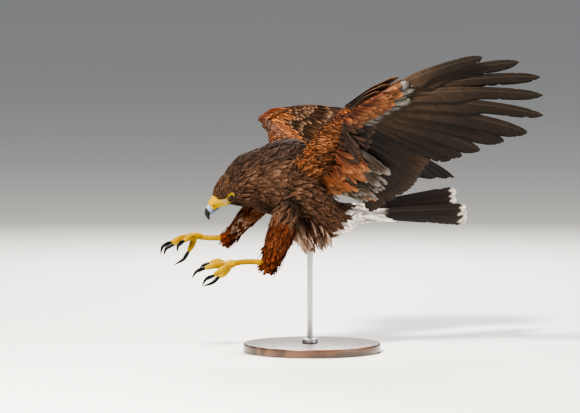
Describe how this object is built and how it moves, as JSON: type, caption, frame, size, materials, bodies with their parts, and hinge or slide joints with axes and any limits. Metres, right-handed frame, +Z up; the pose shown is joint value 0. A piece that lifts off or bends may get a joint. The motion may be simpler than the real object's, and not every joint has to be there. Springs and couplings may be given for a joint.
{
  "type": "harris hawk",
  "caption": "Life-size Harris hawk landing with wings raised and feet thrust forward, held on a plain display stand with a round base and a rod.",
  "frame": {"origin": "centre of the underside of the stand's round base, on the surface it stands on", "axes": "+Z up, the bird heads towards -X, its left side towards -Y"},
  "size_m": [0.6107, 0.5149, 0.5444],
  "materials": {
    "body_feathers": "chocolate brown contour feathers with buff edges",
    "flight_feathers": "grey-brown barred flight feathers, rufous coverts",
    "tail_feathers": "dark brown tail with a white base and white tips",
    "leg_feathers": "rufous thigh feathers",
    "leg_skin": "yellow scaled skin",
    "cere_skin": "smooth yellow skin",
    "bill_horn": "blue-grey horn, black at the tip",
    "claw_horn": "polished black horn",
    "eye": "wet dark brown",
    "stand_wood": "dark stained, satin",
    "stand_steel": "brushed"
  },
  "bodies": {
    "root": {"stand_base": "stand_wood", "stand_rod": "stand_steel", "stand_collar": "stand_steel", "torso": "body_feathers", "neck": "body_feathers", "head": "body_feathers", "cere": "cere_skin", "bill_upper": "bill_horn", "bill_lower": "bill_horn", "eye_left": "eye", "eye_right": "eye", "tail": "tail_feathers", "wing_left": "flight_feathers", "hand_left": "flight_feathers", "wing_right": "flight_feathers", "hand_right": "flight_feathers", "thigh_left": "leg_feathers", "tarsus_left": "leg_skin", "foot_left": "leg_skin", "toe_inner_left": "leg_skin", "claw_inner_left": "claw_horn", "toe_middle_left": "leg_skin", "claw_middle_left": "claw_horn", "toe_outer_left": "leg_skin", "claw_outer_left": "claw_horn", "toe_hind_left": "leg_skin", "claw_hind_left": "claw_horn", "thigh_right": "leg_feathers", "tarsus_right": "leg_skin", "foot_right": "leg_skin", "toe_inner_right": "leg_skin", "claw_inner_right": "claw_horn", "toe_middle_right": "leg_skin", "claw_middle_right": "claw_horn", "toe_outer_right": "leg_skin", "claw_outer_right": "claw_horn", "toe_hind_right": "leg_skin", "claw_hind_right": "claw_horn"}
  },
  "joints": []
}
